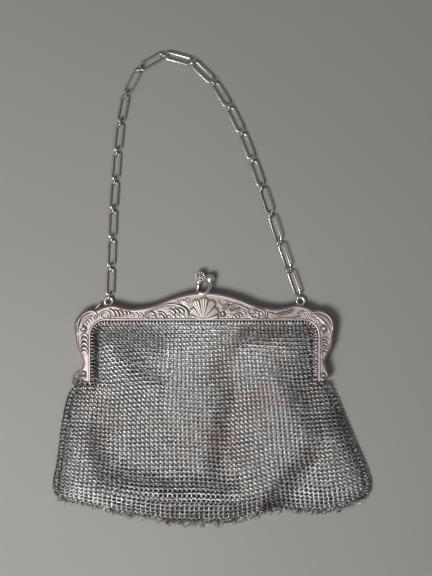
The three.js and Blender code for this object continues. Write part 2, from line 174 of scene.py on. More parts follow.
def worn_silver(name, bright, dull, warm, tone, shine, mottle_size, mottle_share, grain):
    finish = bpy.data.materials.new(name)
    finish.use_nodes = True
    tree = finish.node_tree
    place = linked_node(tree, "ShaderNodeTexCoord").outputs["Object"]
    carried = linked_node(tree, "ShaderNodeAttribute", attribute_name=tone).outputs["Fac"]
    mottle = linked_node(
        tree, "ShaderNodeTexNoise", [("Vector", place), ("Scale", 1 / (mottle_size * MM)), ("Detail", 5.0)]
    ).outputs["Fac"]
    shift = linked_node(
        tree, "ShaderNodeMapRange",
        [("Value", mottle), ("To Min", -mottle_share / 2), ("To Max", mottle_share / 2)],
    ).outputs["Result"]
    # For the rings the carried tone includes painted shade; on the frame it is patina in the hollows.
    wear_and_shade = linked_node(
        tree, "ShaderNodeMath", [(0, carried), (1, shift)], operation="ADD", use_clamp=True
    ).outputs[0]
    patch = linked_node(
        tree, "ShaderNodeTexNoise", [("Vector", place), ("Scale", 1 / (WARM_PATCH * MM)), ("Detail", 2.0)]
    ).outputs["Fac"]
    warmth = linked_node(
        tree, "ShaderNodeMapRange", [("Value", patch), ("From Min", WARM_FROM), ("From Max", WARM_FULL)]
    ).outputs["Result"]
    shade = linked_node(
        tree, "ShaderNodeMix", [("Factor", wear_and_shade), ("A", (*bright, 1)), ("B", (*dull, 1))], data_type="RGBA"
    ).outputs["Result"]
    tinted = linked_node(
        tree, "ShaderNodeMix", [("Factor", warmth), ("A", shade), ("B", (*warm, 1))],
        data_type="RGBA", blend_type="MULTIPLY",
    ).outputs["Result"]
    rough = linked_node(
        tree, "ShaderNodeMapRange", [("Value", wear_and_shade), ("To Min", shine[0]), ("To Max", shine[1])]
    ).outputs["Result"]
    pores = linked_node(
        tree, "ShaderNodeTexNoise", [("Vector", place), ("Scale", 1 / (PORE * MM))]
    ).outputs["Fac"]
    bump = linked_node(
        tree, "ShaderNodeBump", [("Height", pores), ("Strength", grain), ("Distance", PORE_DEPTH * MM)]
    ).outputs["Normal"]
    shader = tree.nodes["Principled BSDF"]
    shader.inputs["Metallic"].default_value = 1.0
    tree.links.new(tinted, shader.inputs["Base Color"])
    tree.links.new(rough, shader.inputs["Roughness"])
    tree.links.new(bump, shader.inputs["Normal"])
    return finish


frame_finish = worn_silver(
    "rubbed_frame_silver", (0.49, 0.447, 0.428), (0.1, 0.084, 0.078), (0.95, 0.89, 0.865), "hollow",
    (0.44, 0.58), 3.0, 0.2, 0.25,
)
ring_finish = worn_silver(
    "dull_ring_silver", (0.95, 0.94, 0.935), (0.06, 0.055, 0.053), (0.9, 0.83, 0.8), "tone",
    (0.36, 0.52), 9.0, 0.3, 0.0,
)
clasp_finish = worn_silver(
    "polished_clasp_silver", (0.86, 0.82, 0.8), (0.06, 0.05, 0.047), (0.95, 0.88, 0.85), "hollow",
    (0.3, 0.5), 3.0, 0.2, 0.1,
)
chain_finish = worn_silver(
    "smooth_chain_silver", (0.72, 0.7, 0.69), (0.16, 0.15, 0.142), (0.92, 0.86, 0.83), "tone",
    (0.2, 0.42), 2.5, 0.4, 0.05,
)

# %% Board finish
def plain_board(name, light, dark):
    finish = bpy.data.materials.new(name)
    finish.use_nodes = True
    tree = finish.node_tree
    place = linked_node(tree, "ShaderNodeTexCoord").outputs["Object"]
    cloud = linked_node(tree, "ShaderNodeTexNoise", [("Vector", place), ("Scale", 9.0)]).outputs["Fac"]
    shade = linked_node(
        tree, "ShaderNodeMix", [("Factor", cloud), ("A", (*light, 1)), ("B", (*dark, 1))], data_type="RGBA"
    ).outputs["Result"]
    tree.links.new(shade, tree.nodes["Principled BSDF"].inputs["Base Color"])
    tree.nodes["Principled BSDF"].inputs["Roughness"].default_value = 0.85
    return finish


board_mesh.materials.append(plain_board("grey_board", (0.256, 0.25, 0.239), (0.235, 0.23, 0.22)))
print("finishes:", [m.name for m in bpy.data.materials if m.users])

# %% [markdown]
# From a shape to a piece
#
# Every piece ends the same way: its mesh goes to an object at the origin, takes a finish, rides on the
# purse's one body and hides the solid that it stands for.

# %% Piece helper
def finished_piece(name, mesh, finish, nodes):
    piece = bpy.data.objects.new(name, mesh)
    bpy.context.scene.collection.objects.link(piece)
    mesh.materials.clear()
    mesh.materials.append(finish)
    mesh.polygons.foreach_set("use_smooth", np.ones(len(mesh.polygons), bool))
    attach(piece, "root")
    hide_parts(*nodes)
    print(f"{name}: {sum(len(p.vertices) - 2 for p in mesh.polygons)} triangles")


def carry(mesh, name, values):
    """Stores one number for each vertex, which a finish then reads."""
    layer = mesh.attributes.new(name, "FLOAT", "POINT")
    layer.data.foreach_set("value", np.asarray(values, np.float32))


# %% [markdown]
# One linked ring
#
# The mesh is thousands of equal rings. A ring is a small circle spun round an axis. It is repeated
# thousands of times, so it has only a few dozen faces: smooth shading hides that at this size. The
# outside of each ring keeps its tone, and the side that faces into the mesh is painted darker: painted shade.

# %% Ring of wire
def wire_ring(radius, wire, steps, sides):
    ring = bmesh.new()
    section = bmesh.ops.create_circle(ring, segments=sides, radius=wire)["verts"]
    bmesh.ops.rotate(ring, verts=section, cent=(0, 0, 0), matrix=Matrix.Rotation(math.pi / 2, 3, "X"))
    bmesh.ops.translate(ring, verts=section, vec=(radius, 0, 0))
    bmesh.ops.spin(
        ring, geom=ring.verts[:] + ring.edges[:], cent=(0, 0, 0), axis=(0, 0, 1),
        angle=2 * math.pi, steps=steps, use_merge=True,
    )
    bmesh.ops.remove_doubles(ring, verts=ring.verts[:], dist=radius * 1e-4)
    bmesh.ops.recalc_face_normals(ring, faces=ring.faces[:])
    return ring


def ring_arrays(radius, wire, steps, sides):
    ring = wire_ring(radius, wire, steps, sides)
    ring.verts.index_update()
    corners = np.array([v.co[:] for v in ring.verts])
    faces = np.array([[v.index for v in f.verts] for f in ring.faces])
    ring.free()
    return corners, faces


def unit(vectors):
    return vectors / np.linalg.norm(vectors, axis=1, keepdims=True)


def turns_about(axes, hints):
    """One turn for each ring: its axis is given, and a hint that fixes the spin about it."""
    axes = unit(axes)
    first = unit(np.cross(hints, axes))
    return np.stack([first, np.cross(axes, first), axes], -1)


# Painted shade: how much darker the side of each ring facing into the mesh is painted.
INNER_SHADE = 0.8
RING_DEPTH = 0.9


def ring_field(name, shape, middles, turns, tones, outside):
    """One mesh of equal rings with middles, turns, tones and outsides; each ring's inner side gets painted
    shade.
    """
    corners, faces = shape
    offsets = np.einsum("nij,kj->nki", turns, corners)
    # Painted shade: the side of each ring that faces into the mesh is darkened.
    depth = np.maximum(-np.einsum("nki,ni->nk", offsets, outside), 0) / RING_DEPTH
    wear_and_shade = np.clip(tones[:, None] + INNER_SHADE * depth, 0, 1)
    quads = (faces[None] + (np.arange(len(middles)) * len(corners))[:, None, None]).reshape(-1, 4)
    mesh = bpy.data.meshes.new(name)
    mesh.vertices.add(wear_and_shade.size)
    mesh.vertices.foreach_set("co", placed(offsets + middles[:, None, :]).astype(np.float32).ravel())
    mesh.loops.add(quads.size)
    mesh.loops.foreach_set("vertex_index", quads.astype(np.int32).ravel())
    mesh.polygons.add(len(quads))
    mesh.polygons.foreach_set("loop_start", np.arange(0, quads.size, 4, dtype=np.int32))
    mesh.update(calc_edges=True)
    carry(mesh, "tone", wear_and_shade.ravel())
    return mesh


print("one ring has", len(ring_arrays(1, 0.25, 12, 5)[1]), "faces")

# %% [markdown]
# The pouch's lie
#
# The pouch spreads out below the arms and sags towards a hem with a step in it. Each row of this table
# is one level of the pouch: how far left and right it reaches and how much it sags in the middle. The
# folds are lines with a width and a height, added up. They are the ones the solid has. Creases are the
# sharper folds that a mesh of rings shows on top of them.

# %% Pouch tables
MOUTH_Z = 6.05
BODY_Z = 6.9
SEAM_Z = 1.1
SEAM_WIDTH = 17.0
LOW_Z = 1.35
ARM_END_Y = -33.3
POUCH_ROWS = np.array([
    # level, left, right, sag
    (-0.35, -54.3, 54.3, 0), (-1.4, -58.1, 58.1, 0), (-4.2, -60.9, 60.9, 0), (-8, -62.1, 62.1, 0),
    (-16, -62.1, 62.1, 0), (-24, -62.1, 62.1, 0), (-33.9, -62.1, 62.1, 0), (-36.4, -72.4, 69.4, 0),
    (-41, -75.2, 72.3, 0.3), (-47, -77, 75, 0.8), (-54, -78.3, 77.7, 1.5), (-61, -79.4, 80.6, 2.5),
    (-68, -80.2, 83.6, 3.7), (-75, -81, 86.8, 5.2), (-82, -82.2, 89.6, 7), (-88.5, -83.5, 91.7, 9),
    (-94, -83.6, 91.3, 11.5), (-97.5, -81, 88, 14),
])
HEM_SHARE = np.array([0, 0.2, 0.42, 0.62, 0.78, 0.95, 1, 1, 0.96, 0.72, 0.42, 0.5, 0.56, 0.4, 0])
FOLDS = [
    # x, y of one end, x, y of the other, width, height
    (-52, -12, -24, -13, 6, -1), (-46, -20, -24, -34, 4, -0.9), (-55, -18, -50, -34, 6, 1.2),
    (-10, -20, -14, -80, 12, 1.3), (10, -38, 6, -80, 6, -0.8), (28, -26, 22, -78, 11, 1.4),
    (24, -9, 54, -8, 5, -1.1), (38, -26, 70, -58, 6, -1.3), (62, -66, 40, -102, 5, -1.5),
    (66, -78, 62, -96, 11, 1.4), (-52, -88, 16, -91, 5.5, -1.6), (-62, -60, -56, -86, 5, -1.2),
    (-30, -101, 16, -103, 5, 1.6),
]
CREASES = [
    (-58, -72, -45, -85, 4, -0.8), (-45, -85, -22, -91.5, 4, -1), (-22, -91.5, 10, -93, 4, -1),
    (-55, -98, 18, -102, 5, 0.9), (63, -74, 42, -88, 2.5, -1), (42, -88, 34, -104, 2.5, -1),
    (-50, -9, -28, -11, 6, -0.8), (-45, -20, -24, -33, 2.5, -0.8), (52, -44, 60, -60, 5, -1.2),
    (56, -6, 54, -33, 6, -1.6), (24, -9, 46, -8, 5, -0.6), (22, -9, -5, -42, 4, -0.8),
    (17, -34, 3, -79, 4, -0.8), (-62, -62, -57, -86, 3, -0.9), (76, -52, 80, -74, 6, -0.7),
]
ARM_GAP = (-60.6, -3, -60.6, -32, 2.4, -3.8)


def eased(low, high, value):
    share = np.clip((value - low) / (high - low), 0, 1)
    return share * share * (3 - 2 * share)


def level_of(y0):
    return (np.interp(-y0, -POUCH_ROWS[:, 0], POUCH_ROWS[:, k]) for k in (1, 2, 3))


def fold_height(x, y, folds):
    height = np.zeros_like(x)
    for x0, y0, x1, y1, width, rise in folds:
        dx, dy = x1 - x0, y1 - y0
        near = np.clip(((x - x0) * dx + (y - y0) * dy) / (dx * dx + dy * dy), 0, 1)
        away = np.hypot(x - x0 - near * dx, y - y0 - near * dy)
        height += rise * np.exp(-((away / width) ** 2))
    return height


def front_wall(x, y0):
    """A point of the front wall's middle, for a place across and a level."""
    left, right, sag = level_of(y0)
    hang = np.interp((x - left) / (right - left), np.linspace(0, 1, len(HEM_SHARE)), HEM_SHARE)
    y = y0 - sag * hang
    hem_away = y - (POUCH_ROWS[-1, 0] - POUCH_ROWS[-1, 3] * hang)
    sewn = eased(-ARM_END_Y - 2, -ARM_END_Y + 8, -y)
    side_away = np.minimum(x - left, right - x)
    side_rise = eased(0, SEAM_WIDTH, side_away) ** 0.7
    hem_rise = eased(0, SEAM_WIDTH * 0.8, hem_away) ** 0.7
    edge = MOUTH_Z + (SEAM_Z - MOUTH_Z) * sewn
    near_arm = eased(0, 5, side_away)
    hung = eased(0, 9, -y) * (near_arm + (1 - near_arm) * sewn)
    folds = fold_height(x, y, FOLDS + CREASES)
    body = MOUTH_Z + (BODY_Z + folds - MOUTH_Z) * hung
    z = SEAM_Z + (edge + (body - edge) * side_rise - SEAM_Z) * hem_rise
    z = np.maximum(z + fold_height(x, y, [ARM_GAP]), LOW_Z)
    return np.stack([x, y, z], -1)


def back_wall(x, y0):
    """The back wall lies flat on the table."""
    flat = front_wall(x, y0)
    flat[..., 2] = LOW_Z
    return flat


print("pouch levels:", len(POUCH_ROWS), "folds:", len(FOLDS) + len(CREASES))

# %% [markdown]
# Linking the mesh
#
# The mesh follows the four-in-one weave: a ring is meant to hold two others in the row above and two in
# the row below. The rows lean up and down by turns and nod to the sides. Rows and columns stand closer
# together under the frame, where the mesh is gathered, and fan out below. Each ring lies a little out
# of true, as in any mesh that has been used. At this spacing the wire has no room to spare, so the rings
# cut into one another, and some hold fewer or more than four. It is a picture of a weave, not a working one.

# %% Places of the rings
RING_RADIUS = 1.45
RING_WIRE = 0.2
SEAM_MARGIN = 1.2
LEAN = math.radians(37)
NOD = math.radians(10)
SKEW = math.radians(-6)
LEAN_JITTER = math.radians(5)
NOD_JITTER = math.radians(6)
PLACE_JITTER = (0.08, 0.08, 0.04)
SWAY = 0.35
ROW_WAVE = 0.8
STILL_X = 62
STILL_FADE = 10
NEARBY = 0.8
SPACING = np.array([
    # depth below the bar, row step, distance of the rings in a row
    (0, 1.0, 2.1), (27, 1.14, 2.32), (55, 1.23, 2.45), (112, 1.28, 2.68),
])
chance = np.random.default_rng(7)


def ring_places():
    """Rows down the wall, every second one half a place aside: x, level and lean of every ring."""
    levels = np.linspace(POUCH_ROWS[0, 0] - 1.2, POUCH_ROWS[-1, 0] + 0.6, 4000)
    depths = -levels + list(level_of(levels))[2]
    depth = depths[0]
    side = 1
    places = []
    while depth < depths[-1]:
        y0 = np.interp(depth, depths, levels)
        left, right, _ = level_of(y0)
        step, pitch = (np.interp(depth, SPACING[:, 0], SPACING[:, k]) for k in (1, 2))
        middle = np.interp(depth, [0, 35, 112], [0, 0, 3]) + pitch * side / 4
        first = math.ceil((left + SEAM_MARGIN - middle) / pitch)
        last = math.floor((right - SEAM_MARGIN - middle) / pitch)
        across = middle + pitch * np.arange(first, last + 1)
        across[0], across[-1] = left + SEAM_MARGIN, right - SEAM_MARGIN
        places += [(x, y0, side) for x in across]
        depth += step
        side = -side
    return np.array(places)


def rings_on(wall, places, facing):
    """Middles, turns and outside directions of rings on a wall, rows leaning by turns."""
    x, y0, side = places.T
    free = np.clip((STILL_X - np.abs(x)) / STILL_FADE, 0, 1)
    x = x + SWAY * np.sin(y0 / 8 + x / 31) * free
    hanging = free * eased(4, 20, -y0) * eased(-98, -80, y0)
    y0 = y0 + ROW_WAVE * np.sin(x / 9 + y0 / 23) * hanging
    along = unit(wall(x + NEARBY, y0) - wall(x - NEARBY, y0))
    up = wall(x, y0 + NEARBY) - wall(x, y0 - NEARBY)
    outside = facing * unit(np.cross(along, up))
    across = np.cross(outside, along)
    lean = np.tan(side * LEAN + chance.normal(0, LEAN_JITTER, len(x)))
    nod = np.tan(side * NOD + SKEW + chance.normal(0, NOD_JITTER, len(x)))
    axes = outside + across * lean[:, None] + along * nod[:, None]
    middles = wall(x, y0) + chance.normal(0, PLACE_JITTER, (len(x), 3))
    return middles, turns_about(axes, along), outside


FRONT_TARNISH = 0.02
# The back wall is painted dark all over: painted shade inside the pouch, seen through the gaps.
BACK_SHADE = 0.85
# Painted shade in the fold troughs.
FOLD_SHADE = 0.5
FOLD_DEPTH = 1.2
# Darker towards the side seams, the hem and the mouth.
SEAM_DARKENING = 0.45
SEAM_REACH = 12.0
HEM_DARKENING = 0.46
MOUTH_DARKENING = 0.13


def ring_darkening(middles, usual):
    """Painted shade in the folds, darker towards the mouth, seams and hem, and a random tone for each ring.
    """
    x, y, _ = middles.T
    deep = np.tanh(-fold_height(x, y, FOLDS + CREASES + [ARM_GAP]) / FOLD_DEPTH)
    left, right, _ = level_of(y)
    seam = 1 - eased(0, SEAM_REACH, np.minimum(x - left, right - x))
    hem = eased(-POUCH_ROWS[-1, 0] - 4, -POUCH_ROWS[-1, 0] + 8, -y)
    below_arms = eased(-ARM_END_Y - 2, -ARM_END_Y + 4, -y)
    mouth = 1 - eased(2, 18, -y)
    dark = SEAM_DARKENING * seam * below_arms + HEM_DARKENING * hem + MOUTH_DARKENING * mouth
    # Painted shade in the fold troughs; fold tops are painted a little lighter.
    dark += FOLD_SHADE * np.maximum(deep, -0.15)
    return usual + dark + chance.normal(0, 0.08, len(middles))


places = ring_places()
print("rings in one wall:", len(places))

# %% Front and back of the mesh
front_ring = ring_arrays(RING_RADIUS, RING_WIRE, 10, 4)
back_ring = ring_arrays(RING_RADIUS, RING_WIRE, 8, 3)
front_rings = rings_on(front_wall, places, 1)
back_rings = rings_on(back_wall, places, -1)
front_set = (*front_rings, ring_darkening(front_rings[0], FRONT_TARNISH))
back_set = (*back_rings, ring_darkening(back_rings[0], BACK_SHADE))


def mesh_piece(name, shape, ring_set, chosen):
    middles, turns, outside, tones = (values[chosen] for values in ring_set)
    mesh = ring_field(name, shape, middles, turns, tones, outside)
    finished_piece(name, mesh, ring_finish, ["mesh_bag"])


low, high = np.quantile(places[:, 0], [1 / 3, 2 / 3])
mesh_piece("mesh_front_left", front_ring, front_set, places[:, 0] < low)
mesh_piece("mesh_front_middle", front_ring, front_set, (places[:, 0] >= low) & (places[:, 0] < high))
mesh_piece("mesh_front_right", front_ring, front_set, places[:, 0] >= high)
mesh_piece("mesh_back_left", back_ring, back_set, places[:, 0] < 0)
mesh_piece("mesh_back_right", back_ring, back_set, places[:, 0] >= 0)

# %% [markdown]
# Sewing rings and hem
#
# A row of rings holds the mesh in the small holes along the frame's inner edge. From above they show as
# bright ticks square to that edge. Along the hem the last rings hang free, so the lower edge is ragged.

# %% Rings along the frame's inner edge
ARM_INNER_X = 62.5
CORNER_RADIUS = 8.0
TICK_STEP = 1.8
TICK_RADIUS = 0.92
TICK_WIRE = 0.26
TICK_Z = 5.9
TICK_INSET = 0.8
TICK_TONE = 0.2


def inner_edge():
    """Points along the frame's inner edge and the directions along it, from foot to foot."""
    turn = np.radians(np.linspace(180, 90, 40))
    bend_x = -ARM_INNER_X + CORNER_RADIUS * (1 + np.cos(turn))
    bend_y = CORNER_RADIUS * (np.sin(turn) - 1)
    left = np.vstack([[(-ARM_INNER_X, ARM_END_Y + 1)], np.column_stack([bend_x, bend_y])])
    line = np.vstack([left, left[::-1] * [-1, 1]])
    far = np.concatenate([[0], np.cumsum(np.linalg.norm(np.diff(line, axis=0), axis=1))])
    steps = np.linspace(0.3, far[-1] - 0.3, round(far[-1] / TICK_STEP))
    before, here, after = (
        np.column_stack([np.interp(steps + shift, far, line[:, k]) for k in (0, 1)])
        for shift in (-0.2, 0, 0.2)
    )
    return here, unit(after - before)


UP = np.array([0.0, 0.0, 1.0])
edge_points, edge_ahead = inner_edge()
count = len(edge_points)
inward = np.column_stack([edge_ahead[:, 1], -edge_ahead[:, 0]])
tick_middles = np.column_stack([edge_points + inward * TICK_INSET, chance.normal(TICK_Z, 0.1, count)])
tick_axes = np.column_stack([edge_ahead, np.zeros(count)]) + chance.normal(0, 0.12, (count, 3))
upright = np.tile(UP, (count, 1))
tick_ring = ring_arrays(TICK_RADIUS, TICK_WIRE, 12, 5)
tick_turns = turns_about(tick_axes, upright)
ticks = ring_field("sewing_rings", tick_ring, tick_middles, tick_turns, np.full(count, TICK_TONE), upright)
finished_piece("sewing_rings", ticks, ring_finish, ["mesh_bag"])

# %% Free rings along the hem
HEM_RINGS = 150
HEM_LEVELS = (1.7, 2.4)
HEM_TONES = (0.35, 0.75)
HEM_TILT = 0.9


def loose_turns(count, tilt):
    """Turns of rings that lie nearly flat, each tilted by chance, and their upward directions."""
    upright = np.tile(UP, (count, 1))
    axes = upright + np.column_stack([chance.normal(0, tilt, (count, 2)), np.zeros(count)])
    return turns_about(axes, np.tile([0.0, 1.0, 0.0], (count, 1))), upright


_, hem_left, hem_right, _ = POUCH_ROWS[-1]
hem_x = np.linspace(hem_left, hem_right, HEM_RINGS) + chance.normal(0, 0.4, HEM_RINGS)
hem_middles = front_wall(np.clip(hem_x, hem_left, hem_right), np.full(HEM_RINGS, POUCH_ROWS[-1, 0]))
hem_middles[:, 1] += chance.normal(-0.2, 0.7, HEM_RINGS)
hem_middles[:, 2] = chance.uniform(*HEM_LEVELS, HEM_RINGS)
hem_turns, upright = loose_turns(HEM_RINGS, HEM_TILT)
hem_tones = chance.uniform(*HEM_TONES, HEM_RINGS)
hem = ring_field("hem_rings", back_ring, hem_middles, hem_turns, hem_tones, upright)
finished_piece("hem_rings", hem, ring_finish, ["mesh_bag"])

# %% Rings that close the mesh under the feet
FOOT_PITCH = 2.1
FOOT_Z = 2.2
FOOT_TONE = 0.62
FOOT_TILT = 0.45
FOOT_ROWS = [
    # level, first x, last x
    (-35.3, -71.8, -63), (-33.6, -71.8, -69.2), (-31.5, -71, -69.2), (-29.4, -69.8, -68.6), (-35.1, 63, 68.4),
]
foot_middles = np.array([
    (x, level, FOOT_Z) for level, first, last in FOOT_ROWS
    for x in np.linspace(first, last, 1 + round((last - first) / FOOT_PITCH))
])
foot_count = len(foot_middles)
foot_middles += chance.normal(0, 0.25, (foot_count, 3))
foot_turns, upright = loose_turns(foot_count, FOOT_TILT)
foot_tones = np.full(foot_count, FOOT_TONE)
feet = ring_field("foot_rings", front_ring, foot_middles, foot_turns, foot_tones, upright)
finished_piece("foot_rings", feet, ring_finish, ["mesh_bag"])

# %% [markdown]
# The frame's two halves
#
# Each half is a band that runs from one foot over the bar to the other foot. A flat grid is bent along
# that band: its length follows the outline, its width runs from the outer to the inner edge, closer
# spaced towards both edges where they are rounded. The front half's face is then raised by the relief.

# %% Band of the frame
BAND = np.array([
    # outer x, y and inner x, y across the right half, from the middle to the foot
    (0, 15.8, 0, 0), (9, 14.9, 9, 0), (19, 12.1, 19, 0), (29, 8.3, 29, 0), (38.5, 6.8, 38.5, 0),
    (45, 7.5, 45, 0), (50.5, 8.8, 49.5, 0), (55.5, 7.9, 53, 0), (60, 6, 55.3, -0.05),
    (64, 5.9, 57.2, -0.5), (68.2, 3.8, 59.6, -1.85), (71, 0, 61.4, -4), (71.5, -4, 62.3, -6.5),
    (70.6, -10, 62.5, -10), (69.6, -15, 62.5, -15), (66.5, -22, 62.5, -22), (67.6, -27, 62.5, -27),
    (68.2, -29.8, 62.5, -29.8), (67.4, -32.4, 62.5, -32.2), (65.2, -33.3, 62.5, -33.3),
])
HALF_THICK = 3.6
SLIT = 0.4
FRONT_Z = HALF_THICK + SLIT
FACE_Z = FRONT_Z + HALF_THICK
FRONT_GRID = (1100, 66)
BACK_GRID = (300, 14)


def smooth_run(points, places):
    """A smooth curve through points, read at places counted in points."""
    padded = np.vstack([2 * points[0] - points[1], points, 2 * points[-1] - points[-2]])
    start = np.clip(np.floor(places).astype(int), 0, len(points) - 2)
    t = (places - start)[:, None]
    p0, p1, p2, p3 = (padded[start + k] for k in range(4))
    bend = (2 * p0 - 5 * p1 + 4 * p2 - p3) * t**2 + (3 * p1 - p0 - 3 * p2 + p3) * t**3
    return p1 + 0.5 * ((p2 - p0) * t + bend)


left_band = BAND[:0:-1] * np.array([-1, 1, -1, 1])
whole_band = np.vstack([left_band, BAND])
fine_band = smooth_run(whole_band, np.linspace(0, len(whole_band) - 1, 6000))
run = np.concatenate([[0], np.cumsum(np.linalg.norm(np.diff(fine_band[:, :2], axis=0), axis=1))])


def on_band(u, v):
    """Ruler place of a share along and a share across the band, and the band's two edges there."""
    edges = np.stack([np.interp(u * run[-1], run, fine_band[:, k]) for k in range(4)], -1)
    across = (0.65 * v + 0.35 * (0.5 - 0.5 * np.cos(np.pi * v)))[:, None]
    return edges[:, :2] * (1 - across) + edges[:, 2:] * across, edges[:, :2], edges[:, 2:]


print("the band is", round(run[-1], 1), "mm long")

# %% [markdown]
# Drawing the relief
#
# A chaser builds such a relief from a few motifs: scrolls that swell and taper, rows of leaves with a cut
# line beside each, arcs one inside the other, small ovals, bosses, and a shell whose lobes fan out. Each
# motif is a function here, and a short table says where it stands. The two sides differ a little, as on
# any hand-finished piece.

# %% Scrolls, cut lines and other single curves
SCROLLS = [
    # points of the curve, half width, height (below zero where it is a cut)
    ([(-32.5, 4), (-25, 7.5), (-19, 9), (-13.5, 8), (-10, 5.5), (-9, 2.5)], 0.65, 0.5),
    ([(-14, 9.6), (-9.5, 7), (-8.2, 3.5)], 0.4, -0.4),
    ([(9.5, 4.5), (11, 6.5), (14, 8), (17.5, 8.7), (21, 7.5), (24, 6)], 0.7, 0.55),
    ([(24, 6), (29, 6.3), (33, 4.5), (33.5, 2)], 0.6, 0.45),
    ([(7.9, 11), (8.3, 9), (10, 7.9), (12.3, 8.5), (12.8, 10), (11.5, 10.7)], 0.45, 0.5),
    ([(-16, 10), (-13, 11), (-11, 10)], 0.4, 0.3),
    ([(41.5, 1.4), (47, 1.2), (52, 2.4)], 0.5, 0.45),
    ([(50.8, 3.4), (54, 5.6)], 0.45, 0.4),
]
CORNER_BANDS = [
    ([(-70, -6), (-69, 0), (-65.5, 4), (-62, 5.3), (-59.3, 3.3), (-60.5, 1)], 0.85, 0.55),
    ([(-62, 2.7), (-65.5, 0.5), (-68, -4)], 0.7, 0.45),
    ([(-63, 4.2), (-67, 2), (-69, -3)], 0.4, -0.4),
    ([(59.5, 4.5), (64.5, 4.5), (69, 1.5), (70.6, -5)], 0.85, 0.55),
    ([(60, 3.5), (64, 0.5), (67.5, -3.5), (68.7, -6.5)], 0.8, 0.45),
    ([(62.5, 3.7), (67, 2), (70, -2)], 0.4, -0.45),
]
ARM_LINES = [
    ([(-69.3, -8), (-69, -12), (-67.3, -17.5)], 0.45, -0.45),
    ([(69.5, -10.5), (68.8, -14), (67.6, -17.5)], 0.45, -0.4),
    ([(-66.5, -18.5), (-65.7, -23)], 0.4, 0.3),
    ([(64.2, -17.5), (64.3, -20.5)], 0.4, 0.35),
    ([(64, -5), (64.4, -6.4), (65.7, -6.9)], 0.5, 0.5),
    ([(-68, -30), (-66.4, -31.6), (-65, -30.7)], 0.6, 0.5),
    ([(63.8, -31.5), (65, -32.4), (66.2, -32)], 0.6, 0.5),
]


def curve(points, half_width, rise):
    """One stroke: a smooth course through a few points, with its half width and height."""
    points = np.array(points, float)
    return smooth_run(points, np.linspace(0, len(points) - 1, 6 * len(points))), half_width, rise


single_strokes = [curve(*row) for row in SCROLLS + CORNER_BANDS + ARM_LINES]
print("single curves:", len(single_strokes))

# %% Leaf rows, nested arcs and arm leaves
CUT_HALF_WIDTH = 0.3
CUT_SHARE = 0.6
LEAF_ROWS = [
    # first and last middle, leaves, first and last length, slope in degrees, half width, height
    ((-50.6, 4.2), (-41.6, 4.2), 5, 5.2, 1.3, -55, 0.7, 0.55),
    ((-28.4, 3.6), (-27.6, 1.9), 2, 3.6, 1.8, -33, 0.7, 0.6),
    ((-17.6, 4.9), (-12.8, 5.4), 3, 3.4, 3.2, -42, 0.8, 0.65),
    ((-19.5, 2.2), (-11.5, 2.2), 4, 1.6, 2, -48, 0.45, 0.3),
    ((15, 5.6), (18.8, 6), 3, 2, 2.6, 35, 0.45, 0.45),
    ((16.4, 2), (19.6, 3.2), 3, 2.4, 3.2, -40, 0.5, 0.5),
    ((22, 4.2), (24, 3.6), 2, 1.8, 2.2, -75, 0.45, 0.45),
    ((36.6, 3.1), (39.6, 2.6), 3, 5.4, 3.4, -33, 0.45, 0.5),
    ((26.2, 5.2), (31, 4.2), 3, 2.8, 2.2, -38, 0.45, 0.42),
    ((41.2, 3.2), (48, 5), 4, 3.6, 3.4, 48, 0.5, 0.5),
    ((-65.2, -1.8), (-62.6, 0.4), 3, 1.8, 1.6, -48, 0.35, 0.4),
    ((-39.6, 3.4), (-34.6, 3.2), 3, 2.2, 2.4, -60, 0.4, 0.35),
    ((64.9, -22.4), (65.3, -25.2), 3, 1.6, 1.2, -35, 0.45, 0.45),
]
NESTED_ARCS = [
    # middle, smallest radius, step, arcs, first and last angle, half width, height
    ((-24.7, 1), 2, 1.6, 2, 95, 5, 0.6, 0.55),
    ((31, 3.6), 1.9, 1.3, 2, 55, -50, 0.45, 0.45),
]
ARM_LEAVES = [
    # middle x, first and last level, leaves, width, fall from left to right, half width, height
    (-65.8, -7.9, -15.4, 4, 3.6, 1.9, 0.75, 0.55),
    (66.1, -9.8, -16, 3, 3.4, 0.8, 0.65, 0.5),
]


def with_cut(points, aside, half_width, rise):
    """A ridge and the cut line beside it."""
    points = np.array(points, float)
    return [curve(points, half_width, rise), curve(points + aside, CUT_HALF_WIDTH, -CUT_SHARE * rise)]


def leaf_row(first, last, leaves, first_length, last_length, slope, half_width, rise):
    """Leaf strokes side by side, each bowed a little away from the cut line on its upper side."""
    ahead = np.array([math.cos(math.radians(slope)), math.sin(math.radians(slope))])
    aside = np.array([-ahead[1], ahead[0]])
    strokes = []
    for share in np.linspace(0, 1, leaves):
        middle = np.array(first) + (np.array(last) - np.array(first)) * share
        length = first_length + (last_length - first_length) * share
        points = [middle - ahead * length / 2, middle + aside * length * 0.1, middle + ahead * length / 2]
        strokes += with_cut(points, aside * (half_width + 0.3), half_width, rise)
    return strokes


def nested_arcs(middle, smallest, step, arcs, first_angle, last_angle, half_width, rise):
    """Arcs about one middle, one inside the other, with a cut line outside each."""
    turn = np.radians(np.linspace(first_angle, last_angle, 5))
    ways = np.column_stack([np.cos(turn), np.sin(turn)])
    strokes = []
    for radius in smallest + step * np.arange(arcs):
        strokes += with_cut(np.array(middle) + radius * ways, ways * step / 2, half_width, rise)
    return strokes


def arm_leaves(middle, first, last, leaves, width, fall, half_width, rise):
    """Arched leaves stacked down an arm, with a cut line under each."""
    under = np.array([0, -(half_width + 0.35)])
    strokes = []
    for level in np.linspace(first, last, leaves):
        shares = np.array([-0.5, -0.2, 0.2, 0.5])
        arch = np.column_stack([middle + width * shares, level + np.array([-0.6, 0.3, 0, -fall])])
        strokes += with_cut(arch, under, half_width, rise)
    return strokes


motif_strokes = [stroke for row in LEAF_ROWS for stroke in leaf_row(*row)]
motif_strokes += [stroke for row in NESTED_ARCS for stroke in nested_arcs(*row)]
motif_strokes += [stroke for row in ARM_LEAVES for stroke in arm_leaves(*row)]
print("strokes in motifs:", len(motif_strokes))

